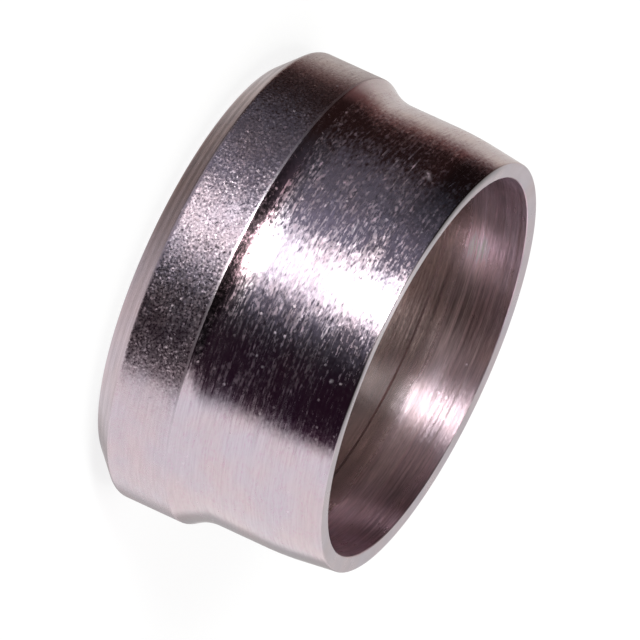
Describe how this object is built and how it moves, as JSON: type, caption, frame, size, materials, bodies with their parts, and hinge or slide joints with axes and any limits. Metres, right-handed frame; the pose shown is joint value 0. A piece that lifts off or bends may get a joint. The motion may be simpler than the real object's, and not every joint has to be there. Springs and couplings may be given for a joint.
{
  "type": "cutting ring",
  "caption": "Turned steel cutting ring for a cone compression tube fitting: tapered cutting end, stepped collar, rear chamfer and a bore with inner cutting edges.",
  "frame": {"origin": "centre of the flat rear face, on the bore's axis, where the ring stands on it", "axes": "+Z along the bore's axis towards the cutting end; X and Y are any two directions across it, because the ring is round"},
  "size_m": [0.019, 0.019, 0.01],
  "materials": {
    "zinc_plated_steel": "bright zinc plate over a turned surface: satin, with fine grain and lathe lines round the axis"
  },
  "bodies": {
    "root": {"cutting_ring": "zinc_plated_steel"}
  },
  "joints": []
}
